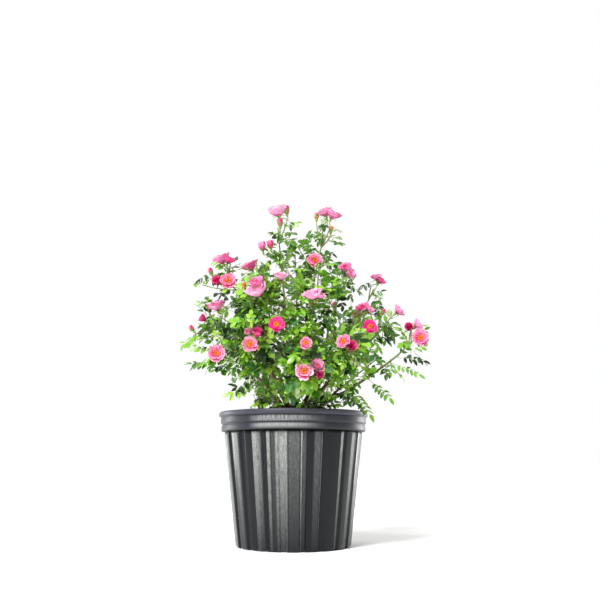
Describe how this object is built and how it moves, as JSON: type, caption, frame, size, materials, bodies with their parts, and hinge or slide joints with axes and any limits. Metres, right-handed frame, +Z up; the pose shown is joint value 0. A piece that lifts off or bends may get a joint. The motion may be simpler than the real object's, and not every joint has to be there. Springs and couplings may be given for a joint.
{
  "type": "rose bush",
  "caption": "Shrub rose in full bloom: arching canes from one crown carry sprays of leaves, roses and buds, in a fluted nursery pot filled with soil.",
  "frame": {"origin": "centre of the pot's flat underside, which stands on the floor", "axes": "+Z up along the pot's axis, +X to the right and +Y away, as the plant is seen from its fullest side"},
  "size_m": [0.4803, 0.4047, 0.6563],
  "materials": {
    "pot": "dark grey moulded plastic, semi-gloss, dusty and scuffed",
    "soil": "dark crumbly potting mix, matte",
    "crown": "rough brown bark",
    "cane": "green cane, brown on older wood, satin",
    "foliage": "green leaves with a satin sheen, and pink roses with an orange heart"
  },
  "bodies": {
    "root": {"pot": "pot", "soil": "soil", "crown": "crown", "cane_back_left": "cane", "cane_back_low_left": "cane", "cane_back_low_right": "cane", "cane_back_right": "cane", "cane_back_top": "cane", "cane_far_right": "cane", "cane_flank_left_low": "cane", "cane_flank_left_up": "cane", "cane_flank_right_mid": "cane", "cane_flank_right_up": "cane", "cane_front_left": "cane", "cane_front_low": "cane", "cane_front_right": "cane", "cane_heart_left": "cane", "cane_heart_low": "cane", "cane_heart_right": "cane", "cane_right_low": "cane", "cane_shoulder_left": "cane", "cane_shoulder_right": "cane", "cane_skirt_left": "cane", "cane_skirt_right": "cane", "cane_spire_left": "cane", "cane_spire_right": "cane", "spray_back_left": "foliage", "spray_back_low_left": "foliage", "spray_back_low_right": "foliage", "spray_back_right": "foliage", "spray_back_top": "foliage", "spray_far_right": "foliage", "spray_flank_left_low": "foliage", "spray_flank_left_up": "foliage", "spray_flank_right_mid": "foliage", "spray_flank_right_up": "foliage", "spray_front_left": "foliage", "spray_front_low": "foliage", "spray_front_right": "foliage", "spray_heart_left": "foliage", "spray_heart_low": "foliage", "spray_heart_right": "foliage", "spray_right_low": "foliage", "spray_shoulder_left": "foliage", "spray_shoulder_right": "foliage", "spray_skirt_left": "foliage", "spray_skirt_right": "foliage", "spray_spire_left": "foliage", "spray_spire_right": "foliage"}
  },
  "joints": []
}
